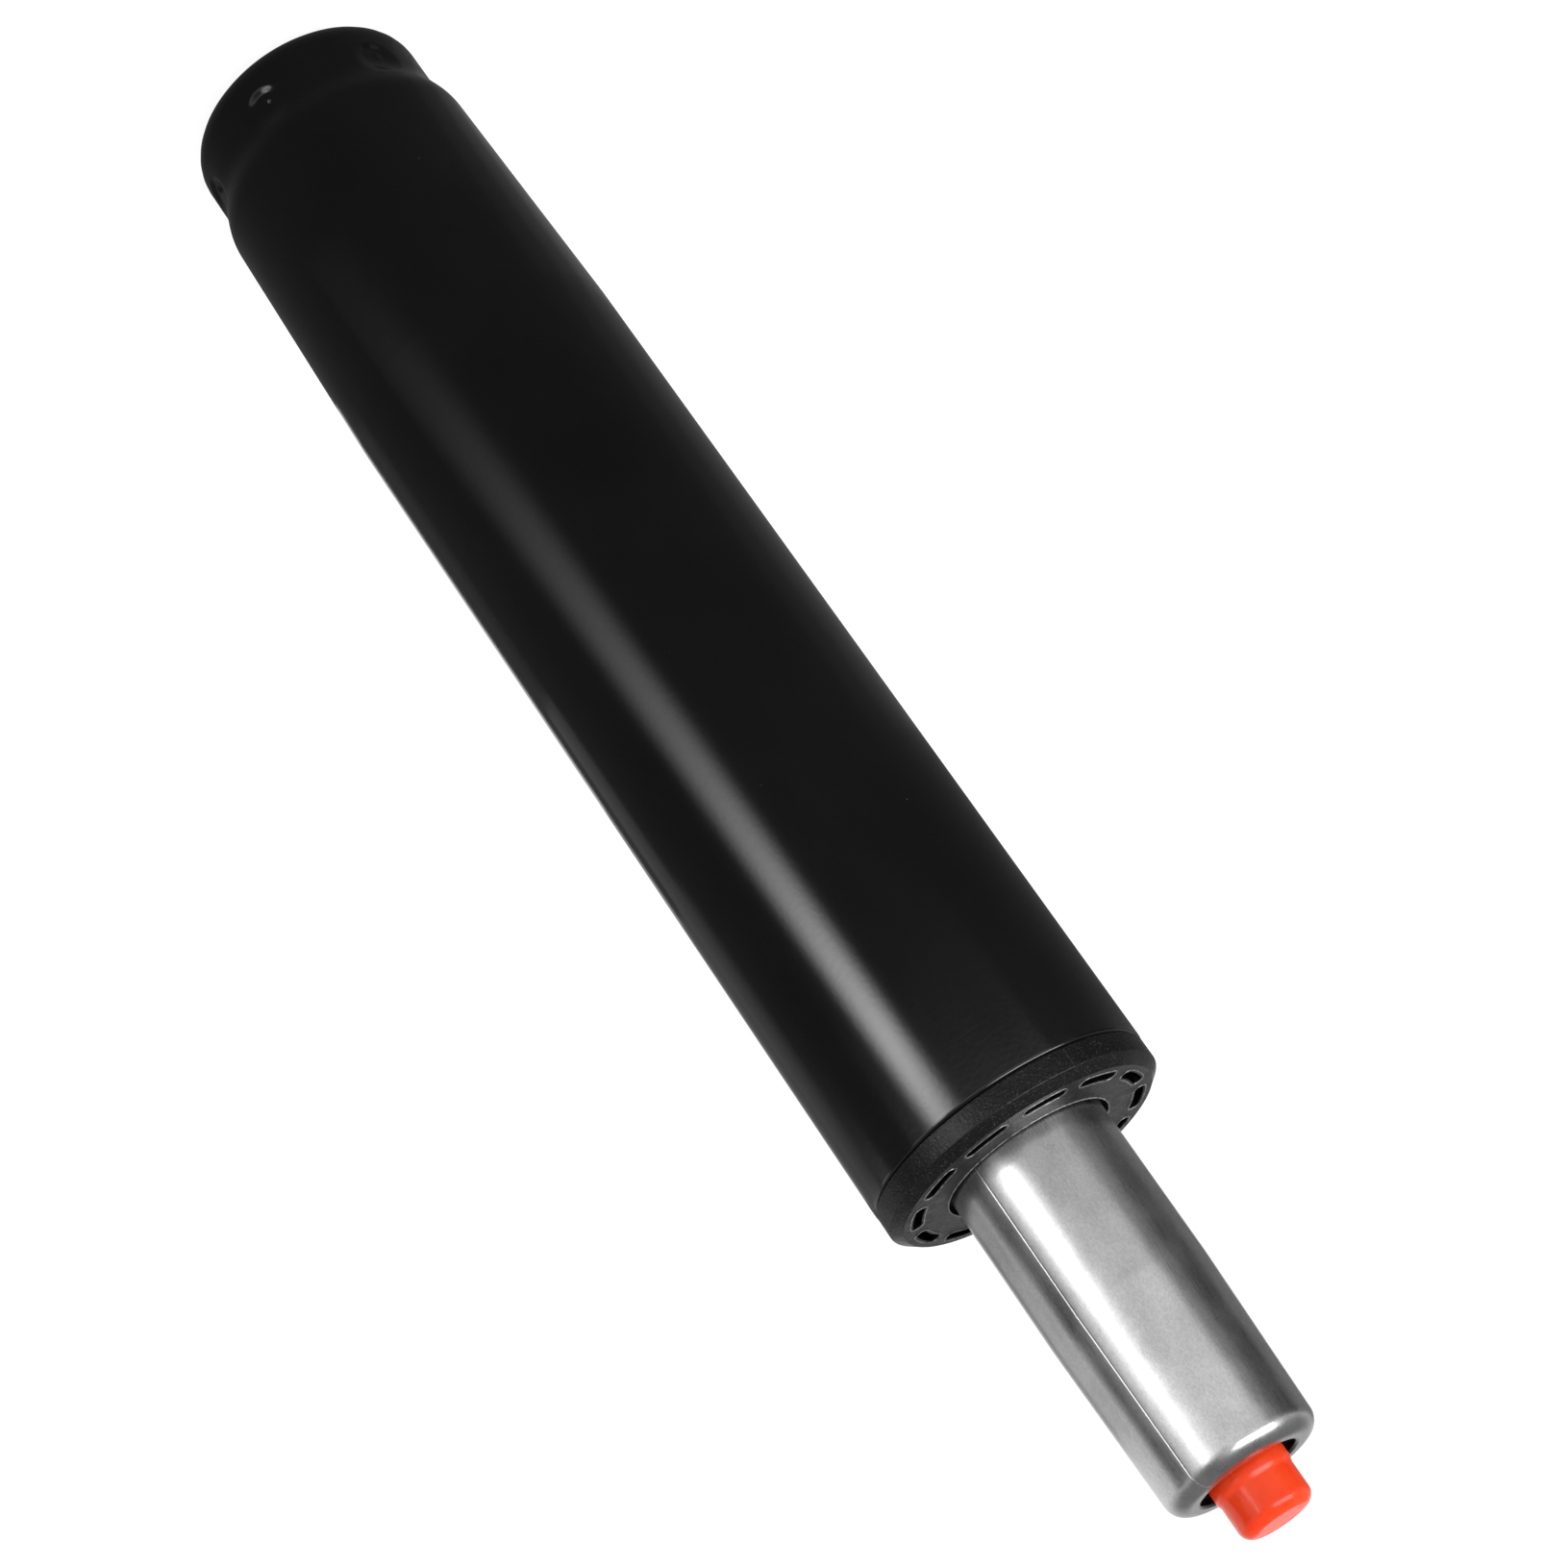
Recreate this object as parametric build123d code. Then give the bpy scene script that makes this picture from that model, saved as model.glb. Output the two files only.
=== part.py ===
from build123d import *
from math import pi
import os

# Chair gas lift cylinder. Millimetres, +Z up along the axis, origin at the middle of the foot of the
# column tube. The spindle is modelled fully lowered.

# Fits shared by the pieces
running_gap = 0.05
fit_gap = 0.05
ring_gap = 0.03
hole_gap = 0.3
stop_gap = 0.3
cut_over = 1.0
taper_share = 0.05

# Column tube
tube_diameter = 50.0
tube_wall = 2.0
tube_height = 234.2
tube_end_round = 0.6
base_cone_top = 68.8
shoulder_lift = 2.6
shoulder_run = 5.3
shoulder_round = 12.0
neck_step = 1.7
curl_round = 5.6
foot_lip_width = 2.95

# Punched dimples round the neck
dimple_count = 6
dimple_first_angle = -80.0
dimple_lift = 4.0
dimple_diameter = 6.4
dimple_depth = 1.3
dimple_edge_round = 0.45

# Pressed support plate
plate_thickness = 2.5
plate_rise = 3.5
plate_rim_height = 5.0
plate_gap = 0.16
plate_bend_round = 1.0
plate_seat_share = 0.672
plate_step_share = 0.127

# Thrust bearing and the rubber ring under it
race_inset = 0.5
race_thickness = 2.5
race_edge_round = 0.4
ball_diameter = 4.0
ball_pitch_share = 1.28
groove_depth = 0.8
groove_gap = 0.1
cage_thickness = 1.4
cage_inset_share = 0.08
cushion_thickness = 2.0
cushion_inset = 0.5
cushion_bore_gap = 1.3

# Guide sleeve
sleeve_length = 110.0
collar_height = 5.2
collar_step = 0.1
collar_chamfer_run = 1.8
collar_chamfer_drop = 1.5
collar_edge_round = 0.3
mouth_width = 0.9
mouth_depth = 1.6
mouth_chamfer = 0.4
sleeve_land_length = 30.0
sleeve_core_wall = 2.6
sleeve_edge_chamfer = 1.5
rib_thickness = 2.0
slot_count = 12
slot_first_angle = -79.0
slot_outer_wall = 1.45
slot_width = 1.7
slot_arc_angle = 15.8
slot_floor = 3.2

# Spindle: pressure tube of the gas spring
spindle_diameter = 28.0
spindle_wall = 1.5
spindle_length = 271.2
spindle_end_round = 3.0
spindle_foot_round = 2.4
spindle_corner_round = 1.0
seat_cone_length = 31.6
mouth_step = 0.6
mouth_edge_round = 0.5
rod_opening_gap = 2.5

# Piston rod
rod_diameter = 10.0
rod_foot_step = 1.0
rod_top_step = 1.0
rod_chamfer = 0.6
rod_tail = 1.6
stroke = 120.0
bump_height = 10.0
bump_inset = 3.5
bump_waist_depth = 1.6
bump_edge_round = 1.2

# Clip and washer under the plate
clip_thickness = 1.0
clip_width = 2.4
clip_groove_depth = 1.0
clip_mouth_width = 6.0
clip_relief_depth = 1.1
clip_lug_width = 3.0
washer_thickness = 1.0
washer_width = 3.0

# Lower closure of the gas spring
end_washer_thickness = 2.0
guide_length = 12.0
guide_land_length = 3.0
guide_relief_depth = 0.7
rod_seal_height = 6.0
seal_lip_depth = 3.2
seal_lip_width = 1.6
spacer_thickness = 2.5
spigot_height = 4.0
spigot_wall = 1.6
passage_width = 3.0
passage_depth = 1.2
passage_count = 4

# Inner cylinder and piston
gas_gap = 0.8
cylinder_wall = 1.2
piston_length = 14.0
piston_gap = 0.1
piston_groove_width = 2.6
piston_groove_depth = 2.0
piston_edge_round = 0.5
piston_washer_thickness = 1.5
piston_washer_inset = 2.0
nut_width = 13.0
nut_height = 6.5
nut_corner_chamfer = 0.5
stud_tail = 1.5

# Valve body
body_spigot_length = 10.0
well_wall = 2.0
well_depth = 8.5
chamber_gap = 0.9
chamber_length = 16.9
gas_port_diameter = 2.4
gas_port_pairs = 2
valve_seat_length = 2.0
valve_seat_gap = 0.2
valve_cone_length = 2.0
body_seal_pitch = 6.0
body_groove_depth = 1.6
body_groove_width = 2.4
body_groove_drop = 8.0
cylinder_groove_depth = 1.3
cylinder_groove_width = 1.8
pin_guide_length = 5.4
pin_seal_section = 1.9
pin_seal_slack = 0.4
pin_seal_squeeze = 0.1
pin_seal_count = 2

# Valve pin and button
pin_diameter = 5.0
pin_neck_depth = 0.8
pin_neck_length = 7.0
pin_head_lap = 0.9
pin_head_length = 1.6
pin_end_chamfer = 0.5
button_gap = 1.63
button_stand = 8.4
button_travel = 4.0
button_floor_gap = 0.4
button_round = 2.1
button_skirt_step = 0.3
button_skirt_stand = 1.2
button_skirt_run = 0.8
button_socket_depth = 7.0


# Heights and radii of the stand that its pieces share
dimple_height = tube_wall + plate_rim_height + dimple_lift
shoulder_bottom = dimple_height + shoulder_lift
shoulder_top = shoulder_bottom + shoulder_run
tube_radius = tube_diameter / 2
tube_bore_radius = tube_radius - tube_wall
neck_radius = tube_radius - (base_cone_top - shoulder_top) * taper_share / 2 - neck_step
neck_bore_radius = neck_radius - tube_wall
rod_radius = rod_diameter / 2
rod_foot_radius = rod_radius - rod_foot_step
rod_top_radius = rod_radius - rod_top_step
plate_rim_radius = neck_bore_radius - plate_gap
plate_room = plate_rim_radius - plate_thickness - rod_foot_radius
plate_seat_radius = rod_foot_radius + plate_room * plate_seat_share
plate_step_run = plate_room * plate_step_share
plate_cavity_radius = plate_seat_radius - plate_thickness
plate_under = tube_wall + plate_rise
bearing_seat = plate_under + plate_thickness

# Bearing, worked out from the room between the rod's foot and the plate's seat
race_radius = plate_seat_radius - race_inset
race_width = race_radius - rod_foot_radius - running_gap
ball_ring_radius = race_radius - race_width / 2
ball_count = int(2 * pi * ball_ring_radius / (ball_diameter * ball_pitch_share))
lower_race_base = bearing_seat + cushion_thickness
ball_height = lower_race_base + race_thickness - groove_depth + ball_diameter / 2 + ring_gap
upper_race_base = ball_height + ball_diameter / 2 + ring_gap - groove_depth
rod_shoulder = upper_race_base + race_thickness

# Spindle and the closure of its foot
spindle_foot = rod_shoulder + bump_height + stop_gap
spindle_top = spindle_foot + spindle_length
spindle_radius = spindle_diameter / 2
spindle_end_radius = spindle_radius - seat_cone_length * taper_share / 2
cone_start = spindle_top - seat_cone_length
cavity_radius = spindle_radius - spindle_wall
guide_base = spindle_foot + spindle_wall + end_washer_thickness
rod_seal_base = guide_base + guide_length
spacer_base = rod_seal_base + rod_seal_height
cylinder_base = spacer_base + spacer_thickness
spigot_top = cylinder_base + spigot_height

# Piston, set so that it meets the spacer at the end of the stroke
cylinder_radius = cavity_radius - gas_gap - cylinder_wall
piston_base = spigot_top + stroke + stop_gap
piston_top = piston_base + piston_length
nut_base = piston_top + piston_washer_thickness

# Valve body, its seals, the pin and the button
body_top = spindle_top - spindle_wall
body_radius = spindle_end_radius - spindle_wall - 2 * fit_gap
body_groove_floor = body_radius - body_groove_depth
well_radius = body_groove_floor - well_wall
well_floor = body_top - well_depth
pin_radius = pin_diameter / 2
pin_pocket_radius = pin_radius + pin_seal_section + 2 * pin_seal_squeeze
pin_seal_pitch = pin_seal_section + pin_seal_slack
pin_pocket_floor = well_floor - pin_guide_length - pin_seal_count * pin_seal_pitch
valve_seat_top = pin_pocket_floor - chamber_length
body_base = valve_seat_top - valve_seat_length - valve_cone_length
body_shoulder = body_base + body_spigot_length
valve_seat_radius = pin_radius + valve_seat_gap
pin_head_radius = valve_seat_radius + pin_head_lap
button_radius = well_radius - button_gap
button_base = well_floor + button_floor_gap + button_travel
button_top = spindle_top + button_stand

# A round bar drawn from its lower face upwards
standing = (Align.CENTER, Align.CENTER, Align.MIN)


def turned(*corners):
    """Solid of revolution about Z; each corner of its outline is (radius, height, rounding)."""
    points = [(radius, height) for radius, height, _ in corners]
    rounds = [rounding for _, _, rounding in corners]
    outline = FilletPolyline(*points, radius=rounds, close=True)
    return revolve(Plane.XZ * make_face(outline), Axis.Z)


def ring(inner, outer, base, height, inner_round=0, outer_round=0):
    """Flat ring between two radii, with its edges rounded alike top and bottom."""
    return turned(
        (inner, base, inner_round),
        (outer, base, outer_round),
        (outer, base + height, outer_round),
        (inner, base + height, inner_round),
    )


def around(count, first_angle, piece):
    """Copies of a piece at even angles about Z."""
    return [Rot(0, 0, first_angle + step * 360 / count) * piece for step in range(count)]


def spindle_bore(height):
    """Bore radius of the pressure tube at a height: straight, then following the seat cone."""
    return cavity_radius - max(0, height - cone_start) * taper_share / 2


# Stand: what stays still with the chair base

def outer_tube():
    """Drawn tube with its base cone, necked foot curled inward, and dimples over the plate's rim."""
    shoulder_radius = neck_radius + neck_step
    opening = neck_radius - curl_round - foot_lip_width
    tube = turned(
        (opening, 0, 0),
        (neck_radius, 0, curl_round),
        (neck_radius, shoulder_bottom, shoulder_round),
        (shoulder_radius, shoulder_top, shoulder_round),
        (tube_radius, base_cone_top, 0),
        (tube_radius, tube_height, tube_end_round),
        (tube_bore_radius, tube_height, 0),
        (tube_bore_radius, base_cone_top, 0),
        (shoulder_radius - tube_wall, shoulder_top, shoulder_round),
        (neck_bore_radius, shoulder_bottom, shoulder_round),
        (neck_bore_radius, tube_wall, curl_round - tube_wall),
        (opening, tube_wall, 0),
    )
    half_width = dimple_diameter / 2
    punch_radius = (half_width**2 + dimple_depth**2) / (2 * dimple_depth)
    punch_centre = Pos(neck_radius - dimple_depth + punch_radius, 0, dimple_height)
    bore_side = Cylinder(neck_bore_radius + fit_gap, tube_height, align=standing)
    bump = punch_centre * Sphere(punch_radius + tube_wall) & bore_side
    tube += around(dimple_count, dimple_first_angle, bump)
    tube -= around(dimple_count, dimple_first_angle, punch_centre * Sphere(punch_radius))
    rims = tube.edges().filter_by(lambda edge: is_dimple_rim(edge, neck_radius, half_width))
    return fillet(rims, dimple_edge_round)


def is_dimple_rim(edge, surface_radius, half_width):
    """True for the small closed edges that the punch leaves in the outer surface."""
    size = edge.bounding_box().size
    reach = max(Vector(vertex.X, vertex.Y).length for vertex in edge.vertices())
    return size.Z < 3 * half_width and size.Z > half_width and reach > surface_radius - fit_gap


def support_plate():
    """Pressed cup: its flat stands on the curl, its rim lies under the dimples, its middle is raised."""
    hole = rod_foot_radius + hole_gap
    floor = tube_wall
    rim_inside = plate_rim_radius - plate_thickness
    return turned(
        (hole, plate_under, 0),
        (plate_cavity_radius, plate_under, plate_bend_round),
        (plate_cavity_radius + plate_step_run, floor, plate_bend_round),
        (plate_rim_radius, floor, curl_round - tube_wall + plate_gap),
        (plate_rim_radius, floor + plate_rim_height, 0),
        (rim_inside, floor + plate_rim_height, 0),
        (rim_inside, floor + plate_thickness, plate_bend_round),
        (plate_seat_radius + plate_step_run, floor + plate_thickness, plate_bend_round),
        (plate_seat_radius, bearing_seat, plate_bend_round),
        (hole, bearing_seat, 0),
    )


def cushion_ring():
    """Flat rubber ring between the plate and the lower race."""
    bore = rod_foot_radius + cushion_bore_gap
    return ring(bore, race_radius - cushion_inset, bearing_seat, cushion_thickness)


def race(base):
    """Hardened ring with a ball groove in the face that looks at the balls."""
    bore = rod_foot_radius + running_gap
    blank = ring(bore, race_radius, base, race_thickness, outer_round=race_edge_round)
    return blank - Pos(0, 0, ball_height) * Torus(ball_ring_radius, ball_diameter / 2 + groove_gap)


def guide_sleeve():
    """Moulded sleeve: collar, top land cored by arc slots, and a finned lower barrel."""
    face = tube_height + collar_height
    foot = face - sleeve_length
    land_radius = tube_bore_radius - fit_gap
    land_base = tube_height - sleeve_land_length
    collar_radius = tube_radius - collar_step
    bore = spindle_radius + running_gap
    barrel = bore + sleeve_core_wall
    mouth = bore + mouth_width
    sleeve = turned(
        (bore, foot, 0),
        (barrel, foot, sleeve_edge_chamfer / 2),
        (barrel, land_base, 0),
        (land_radius, land_base, 0),
        (land_radius, tube_height, 0),
        (collar_radius, tube_height, collar_edge_round),
        (collar_radius, face - collar_chamfer_drop, collar_edge_round),
        (collar_radius - collar_chamfer_run, face, collar_edge_round),
        (mouth, face, 0),
        (mouth, face - mouth_depth, 0),
        (bore + mouth_chamfer, face - mouth_depth, 0),
        (bore, face - mouth_depth - mouth_chamfer, 0),
    )
    rib_root = bore + sleeve_core_wall / 2
    rib_outline = Polyline(
        (rib_root, foot),
        (land_radius - sleeve_edge_chamfer, foot),
        (land_radius, foot + 2 * sleeve_edge_chamfer),
        (land_radius, land_base + cut_over),
        (rib_root, land_base + cut_over),
        close=True,
    )
    rib = extrude(Plane.XZ * make_face(rib_outline), amount=rib_thickness / 2, both=True)
    sleeve += around(slot_count, slot_first_angle + 180 / slot_count, rib)
    slot_ring_radius = land_radius - slot_outer_wall - slot_width / 2
    slot_line = CenterArc((0, 0), slot_ring_radius, -slot_arc_angle / 2, slot_arc_angle)
    slot_bottom = land_base + slot_floor
    slot = extrude(SlotArc(slot_line, slot_width), amount=face - slot_bottom + cut_over)
    sleeve -= around(slot_count, slot_first_angle, Pos(0, 0, slot_bottom) * slot)
    return sleeve


# Bearing: balls and the cage that carries them round

def ball_cage():
    """Flat cage with a pocket for each ball."""
    inset = race_width * cage_inset_share
    bore = race_radius - race_width + inset
    cage = ring(bore, race_radius - inset, ball_height - cage_thickness / 2, cage_thickness)
    pocket = Cylinder(ball_diameter / 2 + running_gap, cage_thickness * 2)
    return cage - around(ball_count, 0, Pos(ball_ring_radius, 0, ball_height) * pocket)


def bearing_balls():
    """Ring of steel balls."""
    ball = Pos(ball_ring_radius, 0, ball_height) * Sphere(ball_diameter / 2)
    return Compound(around(ball_count, 0, ball))


# Rod group: what turns on the bearing but keeps its height

def clip_heights():
    """Lowest and highest height of the retaining clip."""
    top = plate_under - stop_gap - washer_thickness
    return top - clip_thickness, top


def piston_rod():
    """Chromed rod with a stepped, grooved foot and a stepped top."""
    clip_low, clip_high = clip_heights()
    groove_radius = rod_foot_radius - clip_groove_depth
    tail = clip_low - ring_gap - rod_tail
    top = nut_base + nut_height + stud_tail
    return turned(
        (0, tail, 0),
        (rod_foot_radius - rod_chamfer, tail, 0),
        (rod_foot_radius, tail + rod_chamfer, 0),
        (rod_foot_radius, clip_low - ring_gap, 0),
        (groove_radius, clip_low - ring_gap, 0),
        (groove_radius, clip_high + ring_gap, 0),
        (rod_foot_radius, clip_high + ring_gap, 0),
        (rod_foot_radius, rod_shoulder, 0),
        (rod_radius, rod_shoulder, rod_chamfer / 2),
        (rod_radius, piston_base, 0),
        (rod_top_radius, piston_base, 0),
        (rod_top_radius, top - rod_chamfer, 0),
        (rod_top_radius - rod_chamfer, top, 0),
        (0, top, 0),
    )


def clip_washer():
    """Steel washer between the clip and the plate."""
    bore = rod_foot_radius + fit_gap
    return ring(bore, bore + washer_width, clip_heights()[1], washer_thickness)


def retaining_clip():
    """Open spring clip that grips the rod's groove with three lugs."""
    grip = rod_foot_radius - clip_groove_depth + ring_gap
    inner = rod_foot_radius + clip_relief_depth
    outer = rod_foot_radius + clip_width
    shape = Circle(outer) - Circle(inner)
    lug_length = (outer + inner) / 2
    lug = Pos(lug_length / 2, 0) * Rectangle(lug_length, clip_lug_width)
    shape += around(2, 90, lug)
    shape += lug
    shape -= Circle(grip)
    shape -= Pos(-outer / 2, 0) * Rectangle(outer, clip_mouth_width)
    return Pos(0, 0, clip_heights()[0]) * extrude(shape, amount=clip_thickness)


def bump_stop():
    """Waisted rubber ring on the rod that the lowered spindle lands on."""
    bore = rod_radius + fit_gap
    outer = spindle_radius - bump_inset
    waist = rod_shoulder + bump_height / 2
    return turned(
        (bore, rod_shoulder, 0),
        (outer, rod_shoulder, bump_edge_round),
        (outer - bump_waist_depth, waist, bump_height / 2),
        (outer, rod_shoulder + bump_height, bump_edge_round),
        (bore, rod_shoulder + bump_height, 0),
    )


def piston():
    """Turned piston with one groove for its seal."""
    outer = cylinder_radius - piston_gap
    groove_low = piston_base + (piston_length - piston_groove_width) / 2
    groove_high = groove_low + piston_groove_width
    return turned(
        (rod_top_radius + fit_gap, piston_base, 0),
        (outer, piston_base, piston_edge_round),
        (outer, groove_low, 0),
        (outer - piston_groove_depth, groove_low, 0),
        (outer - piston_groove_depth, groove_high, 0),
        (outer, groove_high, 0),
        (outer, piston_top, piston_edge_round),
        (rod_top_radius + fit_gap, piston_top, 0),
    )


def piston_seal():
    """Square-cut seal ring in the piston's groove."""
    low = piston_base + (piston_length - piston_groove_width) / 2 + ring_gap
    inner = cylinder_radius - piston_gap - piston_groove_depth + ring_gap
    outer = cylinder_radius - ring_gap
    return ring(inner, outer, low, piston_groove_width - 2 * ring_gap, outer_round=piston_edge_round / 2)


def piston_washer():
    """Steel washer under the piston's nut."""
    outer = cylinder_radius - piston_washer_inset
    return ring(rod_top_radius + fit_gap, outer, piston_top, piston_washer_thickness)


def piston_nut():
    """Hexagon nut on the rod's stepped top."""
    nut = extrude(RegularPolygon(nut_width / 2, 6, major_radius=False), amount=nut_height)
    corner_radius = nut_width / 3**0.5
    cone = turned(
        (0, 0, 0),
        (corner_radius - nut_corner_chamfer, 0, 0),
        (corner_radius, nut_corner_chamfer, 0),
        (corner_radius, nut_height - nut_corner_chamfer, 0),
        (corner_radius - nut_corner_chamfer, nut_height, 0),
        (0, nut_height, 0),
    )
    hole = Cylinder(rod_top_radius + fit_gap, nut_height, align=standing)
    return Pos(0, 0, nut_base) * ((nut & cone) - hole)


# Spindle: what slides and turns in the guide sleeve

def pressure_tube():
    """Ground tube with its seat cone and both ends rolled in."""
    mouth = well_radius + mouth_step
    rod_opening = rod_radius + rod_opening_gap
    return turned(
        (rod_opening, spindle_foot, 0),
        (spindle_radius, spindle_foot, spindle_foot_round),
        (spindle_radius, cone_start, 0),
        (spindle_end_radius, spindle_top, spindle_end_round),
        (mouth, spindle_top, mouth_edge_round),
        (mouth, body_top, 0),
        (spindle_end_radius - spindle_wall, body_top, spindle_end_round - spindle_wall),
        (cavity_radius, cone_start, 0),
        (cavity_radius, spindle_foot + spindle_wall, spindle_corner_round),
        (rod_opening, spindle_foot + spindle_wall, 0),
    )


def end_washer():
    """Steel disc that closes the foot of the pressure tube."""
    base = spindle_foot + spindle_wall
    outer = cavity_radius - fit_gap
    return turned(
        (rod_radius + hole_gap, base, 0),
        (outer, base, spindle_corner_round + fit_gap),
        (outer, guide_base, 0),
        (rod_radius + hole_gap, guide_base, 0),
    )


def rod_guide():
    """Guide bush for the rod, relieved between its two lands."""
    bore = rod_radius + running_gap
    return turned(
        (bore, guide_base, 0),
        (cavity_radius - fit_gap, guide_base, 0),
        (cavity_radius - fit_gap, rod_seal_base, 0),
        (bore, rod_seal_base, 0),
        (bore, rod_seal_base - guide_land_length, 0),
        (bore + guide_relief_depth, rod_seal_base - guide_land_length - guide_relief_depth, 0),
        (bore + guide_relief_depth, guide_base + guide_land_length + guide_relief_depth, 0),
        (bore, guide_base + guide_land_length, 0),
    )


def rod_seal():
    """Rubber seal with two lips that open towards the gas."""
    inner = rod_radius + ring_gap
    outer = cavity_radius - fit_gap
    lip_floor = spacer_base - seal_lip_depth
    middle = (inner + outer) / 2
    return turned(
        (inner, rod_seal_base, 0),
        (outer, rod_seal_base, 0),
        (outer, spacer_base, 0),
        (outer - seal_lip_width, spacer_base, 0),
        (middle, lip_floor, seal_lip_width / 2),
        (inner + seal_lip_width, spacer_base, 0),
        (inner, spacer_base, 0),
    )


def seal_spacer():
    """Ring that centres the inner cylinder and lets the gas past its end through notches."""
    spigot = cylinder_radius - fit_gap
    spacer = turned(
        (rod_radius + hole_gap, spacer_base, 0),
        (cavity_radius - fit_gap, spacer_base, 0),
        (cavity_radius - fit_gap, cylinder_base, 0),
        (spigot, cylinder_base, 0),
        (spigot, spigot_top, 0),
        (spigot - spigot_wall, spigot_top, 0),
        (spigot - spigot_wall, cylinder_base - passage_depth, 0),
        (rod_radius + hole_gap, cylinder_base - passage_depth, 0),
    )
    reach = cavity_radius - (spigot - spigot_wall) + 2 * cut_over
    notch_base = cylinder_base - passage_depth
    notch = Pos(cavity_radius + cut_over, 0, notch_base) * Box(
        reach, passage_width, 2 * passage_depth, align=(Align.MAX, Align.CENTER, Align.MIN)
    )
    return spacer - around(passage_count, 0, notch)


def inner_cylinder():
    """Thin tube in which the piston runs, held between the spacer and the valve body."""
    length = body_shoulder - cylinder_base
    return ring(cylinder_radius, cylinder_radius + cylinder_wall, cylinder_base, length)


def body_seal_heights():
    """Heights of the two seals round the valve body."""
    first = body_top - body_groove_drop
    return [first, first - body_seal_pitch]


def cylinder_seal_height():
    """Height of the seal round the valve body's spigot."""
    return body_base + body_spigot_length / 2


def groove(floor_radius, outer_radius, height, width):
    """Ring of material that a seal groove takes away."""
    return ring(floor_radius, outer_radius, height - width / 2, width)


def seal_ring(inner, outer, height):
    """O-ring that just fits between two radii."""
    return Pos(0, 0, height) * Torus((inner + outer) / 2, (outer - inner) / 2 - ring_gap)


def valve_body():
    """Turned body: well for the button, pocket for the pin's seals, gas chamber, ports and seat."""
    spigot = cylinder_radius - fit_gap
    chamber = pin_radius + chamber_gap
    blank = turned(
        (pin_head_radius, body_base, 0),
        (spigot, body_base, 0),
        (spigot, body_shoulder, 0),
        (body_radius, body_shoulder, 0),
        (body_radius, body_top, spindle_end_round - spindle_wall + 4 * fit_gap),
        (well_radius, body_top, 0),
        (well_radius, well_floor, 0),
        (pin_pocket_radius, well_floor, 0),
        (pin_pocket_radius, pin_pocket_floor, 0),
        (chamber, pin_pocket_floor, 0),
        (chamber, valve_seat_top, 0),
        (valve_seat_radius, valve_seat_top, 0),
        (valve_seat_radius, body_base + valve_cone_length, 0),
    )
    spigot_floor = spigot - cylinder_groove_depth
    body = blank - groove(spigot_floor, spigot + cut_over, cylinder_seal_height(), cylinder_groove_width)
    for height in body_seal_heights():
        body -= groove(body_groove_floor, body_radius + cut_over, height, body_groove_width)
    port_height = body_shoulder + gas_port_diameter
    drill = Cylinder(gas_port_diameter / 2, 2 * body_radius + cut_over)
    port = Pos(0, 0, port_height) * Rot(0, 90, 0) * drill
    return body - [Rot(0, 0, step * 180 / gas_port_pairs) * port for step in range(gas_port_pairs)]


def body_seals():
    """Two O-rings round the valve body, each as thick as the tapering bore lets it be."""
    rings = []
    for height in body_seal_heights():
        bore = spindle_bore(height + body_groove_width / 2)
        rings.append(seal_ring(body_groove_floor, bore, height))
    return Compound(rings)


def cylinder_seal():
    """O-ring between the valve body's spigot and the inner cylinder."""
    floor_radius = cylinder_radius - fit_gap - cylinder_groove_depth
    return seal_ring(floor_radius, cylinder_radius, cylinder_seal_height())


def pin_guide():
    """Plastic bush that closes the seal pocket and guides the pin."""
    base = well_floor - pin_guide_length
    return ring(pin_radius + running_gap, pin_pocket_radius - fit_gap, base, pin_guide_length)


def pin_seals():
    """O-rings round the pin, stacked in the pocket."""
    ring_one = Torus((pin_radius + pin_pocket_radius) / 2, pin_seal_section / 2)
    first = pin_pocket_floor + pin_seal_pitch / 2
    return Compound([Pos(0, 0, first + step * pin_seal_pitch) * ring_one for step in range(pin_seal_count)])


# Release: what the lever of the seat plate pushes

def valve_pin():
    """Steel pin with a thin neck and the cone that closes the gas passage."""
    neck = pin_radius - pin_neck_depth
    cone_top = body_base + valve_cone_length - 2 * ring_gap
    cone_base = cone_top - valve_cone_length
    top = button_base + button_socket_depth
    neck_top = cone_top + pin_neck_length
    return turned(
        (0, cone_base - pin_head_length, 0),
        (pin_head_radius, cone_base - pin_head_length, pin_end_chamfer),
        (pin_head_radius, cone_base, 0),
        (valve_seat_radius - 2 * ring_gap, cone_top, 0),
        (neck, cone_top, 0),
        (neck, neck_top, 0),
        (pin_radius, neck_top + pin_end_chamfer, 0),
        (pin_radius, top - pin_end_chamfer, 0),
        (pin_radius - pin_end_chamfer, top, 0),
        (0, top, 0),
    )


def release_button():
    """Moulded cap on the pin, rounded at its pressed end and a little wider at its skirt."""
    skirt = button_radius + button_skirt_step
    socket = pin_radius + fit_gap
    socket_roof = button_base + button_socket_depth
    skirt_top = spindle_top + button_skirt_stand
    return turned(
        (socket, button_base, 0),
        (skirt, button_base, button_skirt_step),
        (skirt, skirt_top, 0),
        (button_radius, skirt_top + button_skirt_run, 0),
        (button_radius, button_top, button_round),
        (0, button_top, 0),
        (0, socket_roof, 0),
        (socket, socket_roof, 0),
    )


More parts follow.
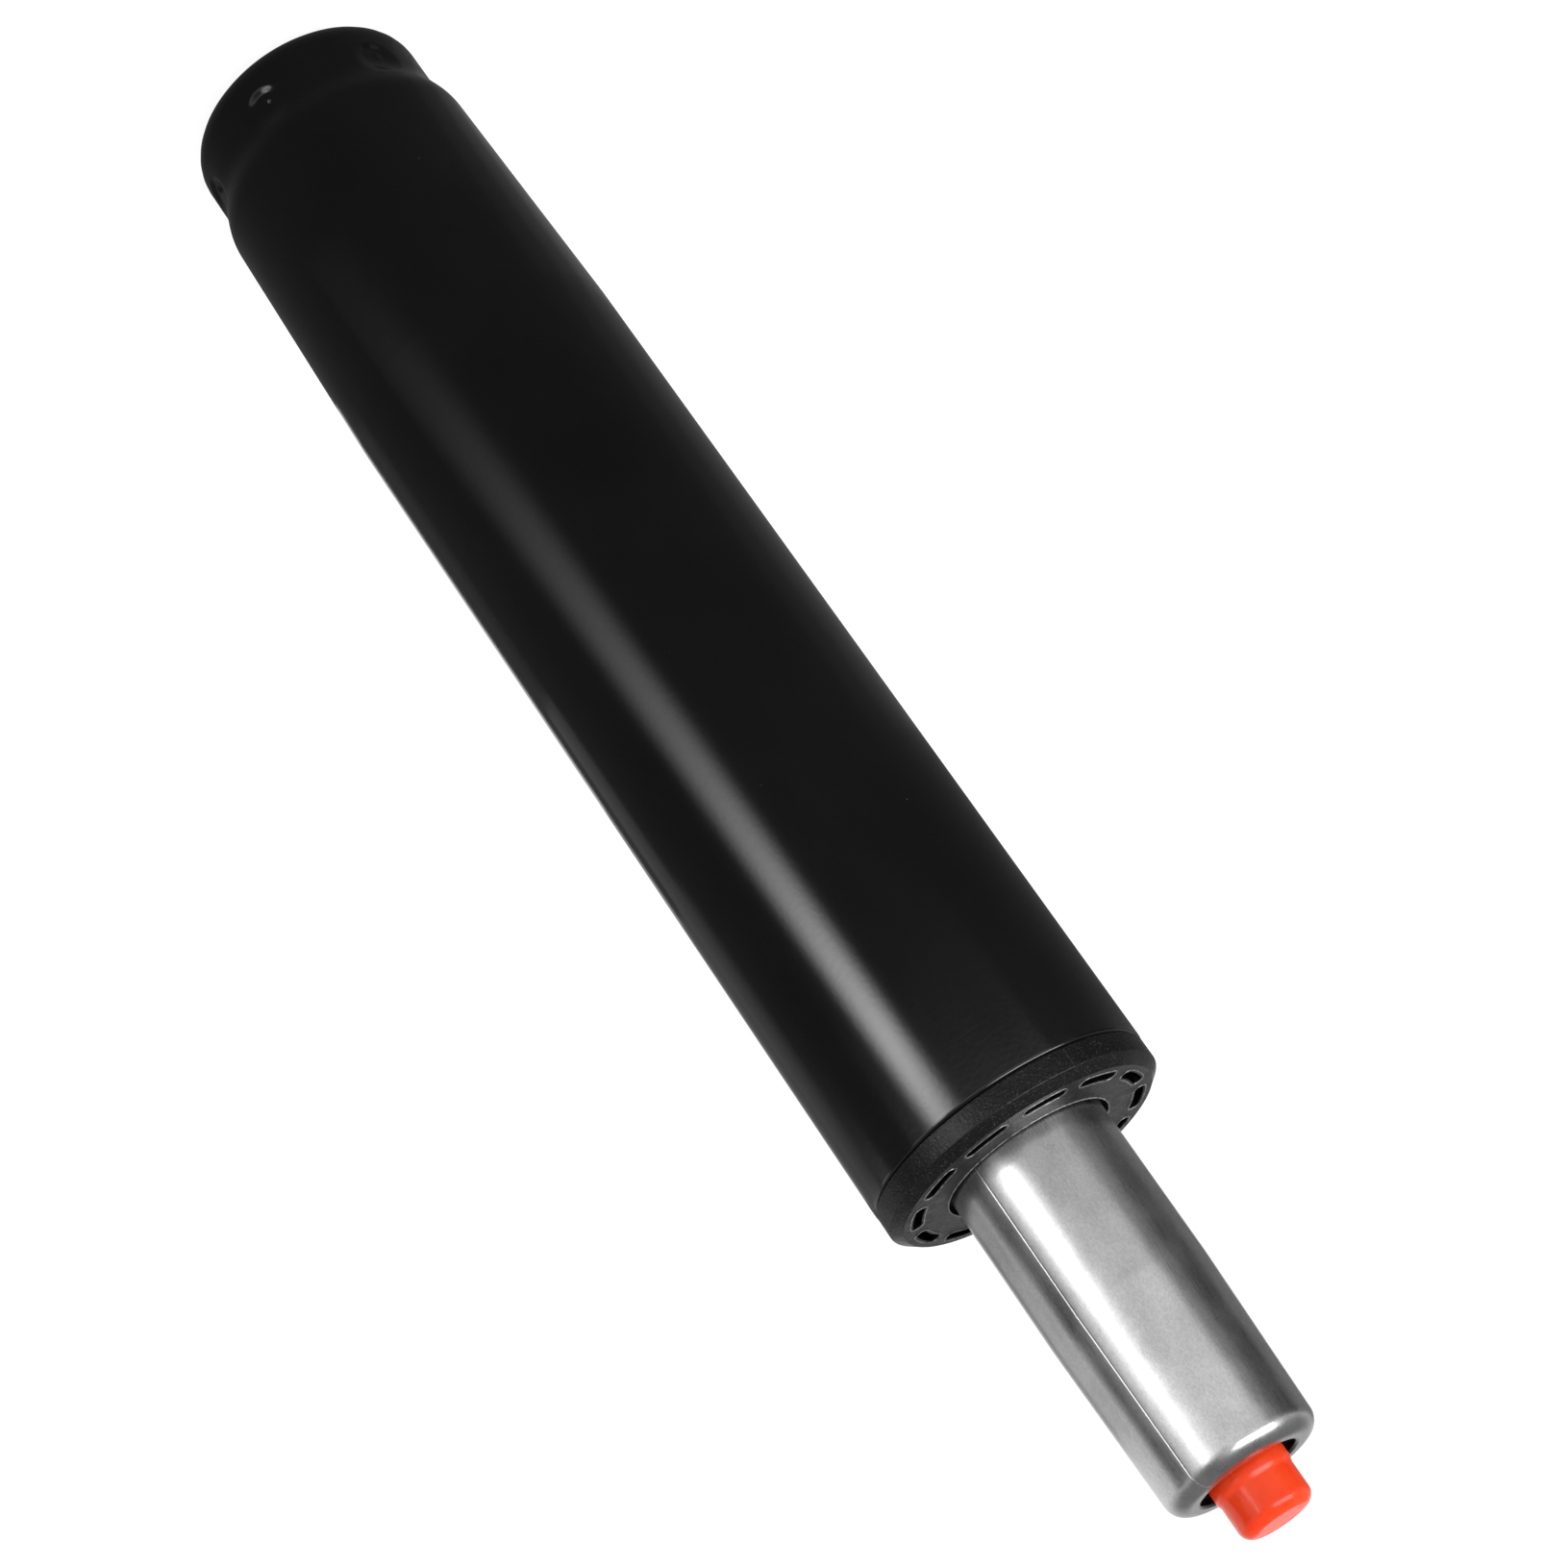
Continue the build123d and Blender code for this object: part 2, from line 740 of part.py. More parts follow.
pieces = {
    "outer_tube": outer_tube(),
    "guide_sleeve": guide_sleeve(),
    "support_plate": support_plate(),
    "cushion_ring": cushion_ring(),
    "lower_race": race(lower_race_base),
    "ball_cage": ball_cage(),
    "bearing_balls": bearing_balls(),
    "upper_race": race(upper_race_base),
    "piston_rod": piston_rod(),
    "clip_washer": clip_washer(),
    "retaining_clip": retaining_clip(),
    "bump_stop": bump_stop(),
    "piston": piston(),
    "piston_seal": piston_seal(),
    "piston_washer": piston_washer(),
    "piston_nut": piston_nut(),
    "pressure_tube": pressure_tube(),
    "end_washer": end_washer(),
    "rod_guide": rod_guide(),
    "rod_seal": rod_seal(),
    "seal_spacer": seal_spacer(),
    "inner_cylinder": inner_cylinder(),
    "valve_body": valve_body(),
    "body_seals": body_seals(),
    "cylinder_seal": cylinder_seal(),
    "pin_guide": pin_guide(),
    "pin_seals": pin_seals(),
    "valve_pin": valve_pin(),
    "release_button": release_button(),
}

os.makedirs("parts", exist_ok=True)
for name, piece in pieces.items():
    export_step(piece, f"parts/{name}.step")
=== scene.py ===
import math

import bmesh
import bpy
from mathutils import Matrix, Vector


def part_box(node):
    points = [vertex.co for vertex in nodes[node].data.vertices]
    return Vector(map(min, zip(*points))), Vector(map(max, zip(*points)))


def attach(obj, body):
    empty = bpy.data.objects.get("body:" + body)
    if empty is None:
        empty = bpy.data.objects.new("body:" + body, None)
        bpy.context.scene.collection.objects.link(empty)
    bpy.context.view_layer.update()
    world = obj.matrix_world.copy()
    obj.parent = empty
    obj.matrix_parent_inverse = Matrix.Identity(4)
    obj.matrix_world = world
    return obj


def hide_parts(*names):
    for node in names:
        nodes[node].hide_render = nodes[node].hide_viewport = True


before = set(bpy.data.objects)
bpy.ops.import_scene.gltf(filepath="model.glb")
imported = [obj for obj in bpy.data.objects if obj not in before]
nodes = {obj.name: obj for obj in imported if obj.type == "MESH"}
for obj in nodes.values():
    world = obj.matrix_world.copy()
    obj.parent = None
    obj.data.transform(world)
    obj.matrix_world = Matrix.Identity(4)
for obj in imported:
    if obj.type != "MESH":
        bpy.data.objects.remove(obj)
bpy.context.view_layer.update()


# Column tube. Drawn steel, necked and curled at its foot, punched with six dimples over the plate
# that it holds, and powder coated black: smooth, half glossy, with a faint orange peel and the odd
# speck of dust caught in the coat.

millimetre = 0.001


def new_finish(name):
    """Node material, its shader, and the point on the piece in metres, the same in every pose."""
    material = bpy.data.materials.new(name)
    material.use_nodes = True
    tree = material.node_tree
    shader = tree.nodes["Principled BSDF"]
    place = tree.nodes.new("ShaderNodeTexCoord").outputs["Object"]
    return material, tree, shader, place


def grain(tree, place, size, detail, seed=0.0):
    """Soft noise, 0 to 1, whose lumps are size millimetres long along x, y and z."""
    scale = tree.nodes.new("ShaderNodeMapping")
    scale.inputs["Scale"].default_value = [1 / (length * millimetre) for length in size]
    tree.links.new(place, scale.inputs["Vector"])
    noise = tree.nodes.new("ShaderNodeTexNoise")
    noise.noise_dimensions = "4D"
    noise.inputs["Scale"].default_value = 1.0
    noise.inputs["W"].default_value = seed
    noise.inputs["Detail"].default_value = detail
    tree.links.new(scale.outputs["Vector"], noise.inputs["Vector"])
    return noise.outputs["Fac"]


def spread(tree, value, span, out, kind="LINEAR"):
    """A value carried from one span to another and held inside it."""
    carried = tree.nodes.new("ShaderNodeMapRange")
    carried.interpolation_type = kind
    for end, number in zip(("From Min", "From Max", "To Min", "To Max"), (*span, *out)):
        carried.inputs[end].default_value = number
    tree.links.new(value, carried.inputs["Value"])
    return carried.outputs["Result"]


def tint(tree, value, colours):
    """Colours laid along a value: (place, colour) pairs."""
    ramp = tree.nodes.new("ShaderNodeValToRGB")
    while len(ramp.color_ramp.elements) < len(colours):
        ramp.color_ramp.elements.new(0.5)
    for element, (place, colour) in zip(ramp.color_ramp.elements, colours):
        element.position = place
        element.color = (*colour, 1)
    tree.links.new(value, ramp.inputs["Fac"])
    return ramp.outputs["Color"]


def relief(tree, shader, height, depth):
    """Bump of a depth in millimetres, laid over any bump the shader already has."""
    bump = tree.nodes.new("ShaderNodeBump")
    bump.inputs["Distance"].default_value = depth * millimetre
    tree.links.new(height, bump.inputs["Height"])
    if shader.inputs["Normal"].links:
        tree.links.new(shader.inputs["Normal"].links[0].from_socket, bump.inputs["Normal"])
    tree.links.new(bump.outputs["Normal"], shader.inputs["Normal"])


def grained(tree, shader, place, size, detail, seed, depth):
    """Relief of soft lumps, their size and depth in millimetres."""
    relief(tree, shader, grain(tree, place, size, detail, seed), depth)


coat_blacks = [(0.35, (0.0028, 0.0028, 0.0030)), (0.7, (0.0048, 0.0048, 0.0050))]
coat_roughness = (0.14, 0.18)
rub_span = (0.3, 0.75)
dust_grey = (0.07, 0.07, 0.07, 1)
dust_from = (0.885, 0.91)

powder_coat, tree, shader, place = new_finish("powder_coat")
cloud = grain(tree, place, size=(18, 18, 30), detail=4.0)
dust = grain(tree, place, size=(0.8, 0.8, 0.8), detail=0.0, seed=3.0)
dusted = tree.nodes.new("ShaderNodeMix")
dusted.data_type = "RGBA"
dusted.inputs["B"].default_value = dust_grey
tree.links.new(spread(tree, dust, dust_from, (0, 1)), dusted.inputs["Factor"])
tree.links.new(tint(tree, cloud, coat_blacks), dusted.inputs["A"])
tree.links.new(dusted.outputs["Result"], shader.inputs["Base Color"])
rub = grain(tree, place, size=(9, 9, 22), detail=5.0, seed=1.0)
tree.links.new(spread(tree, rub, rub_span, coat_roughness), shader.inputs["Roughness"])
shader.inputs["Specular IOR Level"].default_value = 0.5
grained(tree, shader, place, size=(0.9, 0.9, 0.9), detail=2.0, seed=2.0, depth=0.008)

tube_low, tube_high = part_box("outer_tube")
tube_radius = tube_high.x
tube_wall = 2.0 * millimetre
tube_end_round = 0.6 * millimetre
cone_top = 68.8 * millimetre
shoulder_top = 18.9 * millimetre
shoulder_bottom = 13.6 * millimetre
shoulder_round = 12.0 * millimetre
shoulder_radius = tube_radius - 1.2475 * millimetre
neck_radius = shoulder_radius - 1.7 * millimetre
curl_round = 5.6 * millimetre
foot_opening = 13.5 * millimetre

dimple_count = 6
first_dimple = math.radians(-80)
dimple_pitch = 2 * math.pi / dimple_count
dimple_angles = [first_dimple + dimple_pitch * step for step in range(dimple_count)]
dimple_height = 11.0 * millimetre
pit_depth = 0.64 * millimetre
pit_foot_side = (2.2 * millimetre, 3.7 * millimetre)
pit_shoulder_side = (0.5 * millimetre, 5.4 * millimetre)
pit_stretch = 1.1
pit_shift = 0.8 * millimetre
pit_middle = 0.1 * millimetre
halo_depth = 0.15 * millimetre
halo_reach = 4.0 * millimetre
halo_end = 3 * halo_reach
nib_height = 0.42 * millimetre
nib_reach = 0.55 * millimetre
nib_lower = 0.8 * millimetre

corner_steps = 8
tube_columns = 600
neck_row = 0.26 * millimetre
inside_row = 4 * neck_row
held_row = 0.1 * millimetre
shortest_held = 6 * held_row
sharp_angle = math.radians(35)


def rounded_outline(corners):
    """Closed outline in (radius, height) through corners of (radius, height, rounding)."""
    outline = []
    for number, (radius, height, rounding) in enumerate(corners):
        corner = Vector((radius, height))
        if rounding == 0:
            outline.append(corner)
            continue
        before = (Vector(corners[number - 1][:2]) - corner).normalized()
        after = (Vector(corners[(number + 1) % len(corners)][:2]) - corner).normalized()
        half_angle = before.angle(after) / 2
        start = corner + before * rounding / math.tan(half_angle)
        end = corner + after * rounding / math.tan(half_angle)
        centre = corner + (before + after).normalized() * rounding / math.sin(half_angle)
        sweep = (start - centre).angle_signed(end - centre)
        for step in range(corner_steps + 1):
            swung = Matrix.Rotation(-sweep * step / corner_steps, 2)
            outline.append(centre + swung @ (start - centre))
    return outline


def finer(outline):
    """The outline with its neck cut into short runs, and rows held close to long runs' ends."""
    cut = []
    for number, start in enumerate(outline):
        end = outline[(number + 1) % len(outline)]
        length = (end - start).length
        if max(start.y, end.y) < shoulder_top:
            outside = min(start.x, end.x) > neck_radius - tube_wall / 2
            runs = math.ceil(length / (neck_row if outside else inside_row))
            cut += [start.lerp(end, run / runs) for run in range(runs)]
        elif length > shortest_held:
            held = held_row / length
            cut += [start, start.lerp(end, held), end.lerp(start, held)]
        else:
            cut.append(start)
    return cut


def polar(radius, turn, height):
    """Point at a radius and a turn about the axis."""
    return Vector((radius * math.cos(turn), radius * math.sin(turn), height))


def turned(name, outline, columns, inward):
    """Closed mesh of an outline turned about the axis, each point then pushed inward."""
    corners = []
    for radius, height in outline:
        for column in range(columns):
            turn = 2 * math.pi * column / columns
            corners.append(polar(radius - inward(turn, height), turn, height))
    faces = []
    rows = len(outline)
    for row in range(rows):
        for column in range(columns):
            a, b = row * columns, (row + 1) % rows * columns
            beside = (column + 1) % columns
            faces.append((a + column, a + beside, b + beside, b + column))
    return closed_mesh(name, corners, faces)


def closed_mesh(name, corners, faces):
    """Object of a closed mesh with its normals outward, smooth but for its sharp edges."""
    mesh = bpy.data.meshes.new(name)
    mesh.from_pydata(corners, [], faces)
    work = bmesh.new()
    work.from_mesh(mesh)
    bmesh.ops.recalc_face_normals(work, faces=work.faces)
    work.to_mesh(mesh)
    work.free()
    mesh.shade_smooth()
    mesh.set_sharp_from_angle(angle=sharp_angle)
    piece = bpy.data.objects.new(name, mesh)
    bpy.context.scene.collection.objects.link(piece)
    return piece


def ease(value, low, high):
    """Smooth step of a value from 0 at low to 1 at high."""
    share = min(max((value - low) / (high - low), 0), 1)
    return share * share * (3 - 2 * share)


def dimple_inward(turn, height):
    """How far the punches push the wall in: a pit, steep toward the foot, with a nib in it."""
    if height > dimple_height + halo_end:
        return 0
    inward = 0
    for angle in dimple_angles:
        across = math.remainder(turn - angle, 2 * math.pi) * neck_radius
        along = height - dimple_height
        reach = math.hypot(across, along)
        if reach < halo_end:
            pit_reach = max(math.hypot((across - pit_shift) / pit_stretch, along), pit_middle)
            lean = (1 + along / pit_reach) / 2
            floor, rim = (low + (high - low) * lean
                          for low, high in zip(pit_foot_side, pit_shoulder_side))
            nib = math.hypot(across, along + nib_lower)
            inward += halo_depth * math.exp(-(reach / halo_reach) ** 2)
            inward += pit_depth * (1 - ease(pit_reach, floor, rim))
            inward -= nib_height * math.exp(-(nib / nib_reach) ** 2)
    return inward


tube_outline = rounded_outline([
    (foot_opening, tube_low.z, 0),
    (neck_radius, tube_low.z, curl_round),
    (neck_radius, shoulder_bottom, shoulder_round),
    (shoulder_radius, shoulder_top, shoulder_round),
    (tube_radius, cone_top, 0),
    (tube_radius, tube_high.z, tube_end_round),
    (tube_radius - tube_wall, tube_high.z, 0),
    (tube_radius - tube_wall, cone_top, 0),
    (shoulder_radius - tube_wall, shoulder_top, shoulder_round),
    (neck_radius - tube_wall, shoulder_bottom, shoulder_round),
    (neck_radius - tube_wall, tube_wall, curl_round - tube_wall),
    (foot_opening, tube_wall, 0),
])
tube_skin = turned("tube_skin", finer(tube_outline), tube_columns, dimple_inward)
tube_skin.data.materials.append(powder_coat)
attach(tube_skin, "stand")
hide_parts("outer_tube")


# Guide sleeve. Moulded acetal, pressed into the tube up to its collar and cored from above by
# twelve arc slots so that its thick wall doesn't sink: fine matt grain with painted glints in its
# colour, painted shade on the face at the slots' mouths, lips round the slots, the mouth and the
# collar's edge in a lighter grey that is partly rubbed wear and partly painted highlight, and the
# mould's parting line down the collar.

face_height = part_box("guide_sleeve")[1].z
slot_ring_radius = 20.65 * millimetre
slot_half_width = 0.85 * millimetre
slot_half_angle = math.radians(15.8 / 2)
slot_count = 12
first_slot = math.radians(-79)
slot_pitch = 2 * math.pi / slot_count
slot_angles = [first_slot + slot_pitch * step for step in range(slot_count)]

sleeve_blacks = [(0.3, (0.0038, 0.0038, 0.0040)), (0.75, (0.0068, 0.0068, 0.0071))]
sleeve_roughness = (0.30, 0.42)
rubbed_roughness = (0.35, 0.22)
cloud_span = (0.3, 0.7)
painted_glint_from = (0.6, 0.72)
painted_glint_gain = (1, 12)
mouth_shade = (0.3 * millimetre, 0.38 * millimetre)
painted_slot_shade_level = 0.06


def sums(tree, kind, *values):
    """Maths node on links or plain numbers."""
    node = tree.nodes.new("ShaderNodeMath")
    node.operation = kind
    for socket, value in zip(node.inputs, values):
        if isinstance(value, (int, float)):
            socket.default_value = value
        else:
            tree.links.new(value, socket)
    return node.outputs["Value"]


def hypotenuse(tree, one, other):
    """Length of the line whose legs are the two values."""
    squares = [sums(tree, "MULTIPLY", leg, leg) for leg in (one, other)]
    return sums(tree, "SQRT", sums(tree, "ADD", *squares))


def about_axis(tree, place):
    """The point's distance from the axis and its turn about it."""
    parts = tree.nodes.new("ShaderNodeSeparateXYZ")
    tree.links.new(place, parts.inputs["Vector"])
    x, y = parts.outputs["X"], parts.outputs["Y"]
    return hypotenuse(tree, x, y), sums(tree, "ARCTAN2", y, x)


def slot_distance(tree, place):
    """The point's distance from the nearest slot, seen from above; under nought inside it."""
    radius, turn = about_axis(tree, place)
    turn = sums(tree, "SUBTRACT", turn, first_slot)
    turn = sums(tree, "ABSOLUTE", sums(tree, "WRAP", turn, slot_pitch / 2, -slot_pitch / 2))
    past = sums(tree, "MAXIMUM", sums(tree, "SUBTRACT", turn, slot_half_angle), 0)
    aside = sums(tree, "SUBTRACT", radius, slot_ring_radius)
    away = hypotenuse(tree, sums(tree, "MULTIPLY", past, radius), aside)
    return sums(tree, "SUBTRACT", away, slot_half_width)


def times(tree, colour, value):
    """Colour made darker or lighter by a value."""
    scale = tree.nodes.new("ShaderNodeVectorMath")
    scale.operation = "SCALE"
    tree.links.new(colour, scale.inputs["Vector"])
    tree.links.new(value, scale.inputs["Scale"])
    return scale.outputs["Vector"]


def dress(material, *names):
    """The finish goes on these CAD pieces."""
    for name in names:
        slots = nodes[name].data.materials
        for number in range(len(slots)):
            slots[number] = material


moulded_black, tree, shader, place = new_finish("moulded_black")
cloud = grain(tree, place, size=(5, 5, 5), detail=5.0, seed=4.0)
# Painted glints: random specks where the colour is brightened up to twelvefold, standing in for
# glints of light on the grain.
painted_glint = grain(tree, place, size=(0.22, 0.22, 0.22), detail=1.0, seed=6.2)
painted_glint = spread(tree, painted_glint, painted_glint_from, painted_glint_gain)
# Painted shade: the colour darkens to six hundredths towards and inside the slots, standing in for
# the shade in their deep mouths.
painted_slot_shade = spread(tree, slot_distance(tree, place), mouth_shade, (painted_slot_shade_level, 1))
colour = times(tree, times(tree, tint(tree, cloud, sleeve_blacks), painted_glint), painted_slot_shade)
tree.links.new(colour, shader.inputs["Base Color"])
rub = grain(tree, place, size=(2, 2, 2), detail=4.0, seed=5.0)
tree.links.new(spread(tree, rub, cloud_span, sleeve_roughness), shader.inputs["Roughness"])
shader.inputs["Specular IOR Level"].default_value = 0.26
grained(tree, shader, place, size=(0.5, 0.5, 0.5), detail=2.0, seed=6.0, depth=0.11)
grained(tree, shader, place, size=(0.16, 0.16, 0.16), detail=1.0, seed=6.5, depth=0.03)
dress(moulded_black, "guide_sleeve")

# The lips' lighter grey is partly rubbed wear and partly painted highlight, standing in for glints
# on their edges.
lip_greys_wear_and_highlight = [(0.35, (0.03, 0.03, 0.03)), (0.62, (0.26, 0.26, 0.26))]

lip_wear_and_highlight, tree, shader, place = new_finish("lip_wear_and_highlight")
wear = grain(tree, place, size=(0.7, 0.7, 0.7), detail=4.0, seed=6.7)
tree.links.new(tint(tree, wear, lip_greys_wear_and_highlight), shader.inputs["Base Color"])
tree.links.new(spread(tree, wear, cloud_span, rubbed_roughness), shader.inputs["Roughness"])
grained(tree, shader, place, size=(0.4, 0.4, 0.4), detail=2.0, seed=6.8, depth=0.03)

lip_reach = 0.1 * millimetre
lip_sides = 6
mouth_lip_reach = 1.3 * lip_reach
edge_lip_reach = 0.7 * lip_reach
edge_lip_inset = 0.8 * lip_reach
lip_half_width = slot_half_width + 0.42 * millimetre
mouth_radius = 14.95 * millimetre
ring_steps = 160
collar_side_radius = 24.9 * millimetre
collar_side = (tube_high.z + 0.4 * millimetre, face_height - 1.7 * millimetre)
parting_angle = math.radians(-123)
parting_width = 0.12 * millimetre
parting_profile = ((-2, -1), (0, -1), (0.6, 0), (0, 1), (-2, 1))


def lip(loop, reach):
    """Corners and faces of a fine round bead laid along a closed flat loop of points."""
    corners = []
    for number, point in enumerate(loop):
        along = (loop[(number + 1) % len(loop)] - loop[number - 1]).normalized()
        aside = along.cross(Vector((0, 0, 1)))
        for side in range(lip_sides):
            turn = 2 * math.pi * side / lip_sides
            out = aside * math.cos(turn) + Vector((0, 0, math.sin(turn)))
            corners.append(point + reach * out)
    faces = []
    for number in range(len(loop)):
        a, b = number * lip_sides, (number + 1) % len(loop) * lip_sides
        for side in range(lip_sides):
            beside = (side + 1) % lip_sides
            faces.append((a + side, a + beside, b + beside, b + side))
    return corners, faces


def slot_loop(angle):
    """Line round an arc slot on the face: two arcs joined by round ends."""
    loop = []
    for side, half_turn in ((1, 0), (-1, math.pi)):
        radius = slot_ring_radius + side * lip_half_width
        for step in range(corner_steps + 1):
            turn = angle + side * slot_half_angle * (2 * step / corner_steps - 1)
            loop.append(polar(radius, turn, face_height))
        end = angle + side * slot_half_angle
        for step in range(1, corner_steps):
            turn = end + half_turn + math.pi * step / corner_steps
            centre = polar(slot_ring_radius, end, face_height)
            loop.append(centre + polar(lip_half_width, turn, 0))
    return loop


def ring_loop(radius, height):
    """Round loop about the axis."""
    turns = [2 * math.pi * step / ring_steps for step in range(ring_steps)]
    return [polar(radius, turn, height) for turn in turns]


def joined(name, parts):
    """One closed-mesh object of several (corners, faces) parts."""
    corners = []
    faces = []
    for part_corners, part_faces in parts:
        start = len(corners)
        corners += part_corners
        faces += [[start + corner for corner in face] for face in part_faces]
    return closed_mesh(name, corners, faces)


sleeve_lips = [lip(slot_loop(angle), lip_reach) for angle in slot_angles]
sleeve_lips.append(lip(ring_loop(mouth_radius, face_height), mouth_lip_reach))
collar_edge = ring_loop(collar_side_radius - edge_lip_inset, collar_side[1])
sleeve_lips.append(lip(collar_edge, edge_lip_reach))
sleeve_marks = joined("sleeve_marks", sleeve_lips)
sleeve_marks.data.materials.append(lip_wear_and_highlight)
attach(sleeve_marks, "stand")

parting_corners = []
for height in collar_side:
    for outward, sideways in parting_profile:
        turn = parting_angle + sideways * parting_width / 2 / collar_side_radius
        parting_corners.append(polar(collar_side_radius + outward * parting_width, turn, height))
sides = len(parting_profile)
parting_faces = [list(range(sides))[::-1], list(range(sides, 2 * sides))]
for side in range(sides):
    beside = (side + 1) % sides
    parting_faces.append([side, beside, beside + sides, side + sides])
parting_line = joined("parting_line", [(parting_corners, parting_faces)])
parting_line.data.materials.append(moulded_black)
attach(parting_line, "stand")


# Support plate, washers and clip. Pressed or stamped mild steel, bright zinc plated: clouded grey
# with a faint mottle. The plate sits on the tube's curl, the clip and washer hold the rod's foot
# under it, and the rest hold the piston on the rod and close the spindle's foot.


def clouded(name, size, detail, seed, colours, roughness, metal=0.0):
    """Finish whose colour and roughness follow one soft cloud over the piece."""
    material, tree, shader, place = new_finish(name)
    cloud = grain(tree, place, size, detail, seed)
    tree.links.new(tint(tree, cloud, colours), shader.inputs["Base Color"])
    tree.links.new(spread(tree, cloud, cloud_span, roughness), shader.inputs["Roughness"])
    shader.inputs["Metallic"].default_value = metal
    return material, tree, shader, place


zinc_greys = [(0.3, (0.42, 0.43, 0.44)), (0.5, (0.58, 0.59, 0.60)), (0.7, (0.66, 0.66, 0.65))]

zinc_plate, tree, shader, place = clouded(
    "zinc_plate", size=(3, 3, 3), detail=6.0, seed=7.0,
    colours=zinc_greys, roughness=(0.28, 0.45), metal=1.0)
grained(tree, shader, place, size=(0.5, 0.5, 0.5), detail=3.0, seed=8.0, depth=0.012)
dress(zinc_plate, "support_plate", "clip_washer", "retaining_clip",
      "piston_washer", "end_washer", "piston_nut")


# Rubber. Moulded nitrile, dull black with a dusty bloom: the cushion under the bearing, the bump
# stop round the rod, and every seal.

rubber_blacks = [(0.35, (0.012, 0.012, 0.012)), (0.7, (0.032, 0.031, 0.030))]

nitrile, tree, shader, place = clouded(
    "nitrile", size=(4, 4, 4), detail=6.0, seed=9.0,
    colours=rubber_blacks, roughness=(0.55, 0.75))
grained(tree, shader, place, size=(0.3, 0.3, 0.3), detail=2.0, seed=10.0, depth=0.015)
dress(nitrile, "cushion_ring", "bump_stop", "piston_seal", "rod_seal",
      "body_seals", "cylinder_seal", "pin_seals")


# Bearing. Hardened rings and balls, ground and polished, with fine rings left by the wheel; the
# flat cage between them is stamped brass. The valve's pin is ground from the same steel.

bearing_greys = [(0.3, (0.50, 0.50, 0.51)), (0.7, (0.60, 0.60, 0.60))]
brass_yellows = [(0.3, (0.45, 0.31, 0.11)), (0.7, (0.72, 0.53, 0.24))]

bearing_steel, tree, shader, place = clouded(
    "bearing_steel", size=(6, 6, 2), detail=5.0, seed=11.0,
    colours=bearing_greys, roughness=(0.14, 0.26), metal=1.0)
grained(tree, shader, place, size=(3, 3, 0.08), detail=2.0, seed=12.0, depth=0.004)
dress(bearing_steel, "lower_race", "upper_race", "bearing_balls", "valve_pin")

stamped_brass, tree, shader, place = clouded(
    "stamped_brass", size=(4, 4, 4), detail=6.0, seed=13.0,
    colours=brass_yellows, roughness=(0.24, 0.4), metal=1.0)
grained(tree, shader, place, size=(0.8, 0.8, 0.8), detail=3.0, seed=14.0, depth=0.008)
dress(stamped_brass, "ball_cage")


# Piston rod, piston and valve body. The rod is hard chromed and polished, with the finest of
# turned marks; the piston is turned aluminium, left bright, and the valve body that closes the
# spindle's upper end is turned from it too and anodised black.

chrome_greys = [(0.3, (0.66, 0.67, 0.69)), (0.7, (0.76, 0.77, 0.78))]
aluminium_greys = [(0.3, (0.62, 0.63, 0.64)), (0.7, (0.76, 0.77, 0.78))]
anodised_blacks = [(0.3, (0.004, 0.004, 0.004)), (0.7, (0.012, 0.012, 0.013))]

hard_chrome, tree, shader, place = clouded(
    "hard_chrome", size=(7, 7, 20), detail=5.0, seed=15.0,
    colours=chrome_greys, roughness=(0.06, 0.14), metal=1.0)
grained(tree, shader, place, size=(4, 4, 0.1), detail=2.0, seed=16.0, depth=0.002)
dress(hard_chrome, "piston_rod")

turned_aluminium, tree, shader, place = clouded(
    "turned_aluminium", size=(5, 5, 0.25), detail=4.0, seed=17.0,
    colours=aluminium_greys, roughness=(0.24, 0.38), metal=1.0)
grained(tree, shader, place, size=(5, 5, 0.12), detail=2.0, seed=18.0, depth=0.01)
dress(turned_aluminium, "piston")

anodised_black, tree, shader, place = clouded(
    "anodised_black", size=(5, 5, 0.25), detail=4.0, seed=18.3,
    colours=anodised_blacks, roughness=(0.22, 0.36))
shader.inputs["Specular IOR Level"].default_value = 0.1
grained(tree, shader, place, size=(5, 5, 0.12), detail=2.0, seed=18.6, depth=0.008)
dress(anodised_black, "valve_body")


# White plastic. Natural acetal, slightly warm and waxy: the bush that guides the rod, the spacer
# over its seal, and the bush of the valve's pin, all turned and pushed into the spindle.

acetal_whites = [(0.3, (0.70, 0.69, 0.64)), (0.7, (0.80, 0.79, 0.75))]

natural_acetal, tree, shader, place = clouded(
    "natural_acetal", size=(6, 6, 6), detail=4.0, seed=19.0,
    colours=acetal_whites, roughness=(0.36, 0.48))
grained(tree, shader, place, size=(0.5, 0.5, 0.5), detail=2.0, seed=20.0, depth=0.01)
dress(natural_acetal, "rod_guide", "seal_spacer", "pin_guide")


# Spindle. The pressure tube of the gas spring, drawn, ground and polished bare steel: long faint
# streaks along it, a finer grain, greasy smudges and one scribed line brightened by a painted
# glint, and painted shade darkening its open end. The inner cylinder in it is thinner tube, left
# as drawn.

scribe_angle = math.radians(-56.6)
scribe_width = math.radians(0.9)
scribe_depth = 0.035
scribe_painted_glint = 1.6
bore_shade = (8.6 * millimetre, 9.2 * millimetre)
painted_bore_shade_level = 0.05
steel_greys = [(0.3, (0.46, 0.46, 0.465)), (0.55, (0.55, 0.55, 0.55)), (0.75, (0.61, 0.61, 0.61))]
streak_roughness = (0.24, 0.31)
smudge_roughness = (0.0, 0.06)
smudge_span = (0.35, 0.7)
speckle_span = (0.35, 0.65)
speckle_shade = (0.88, 1.08)

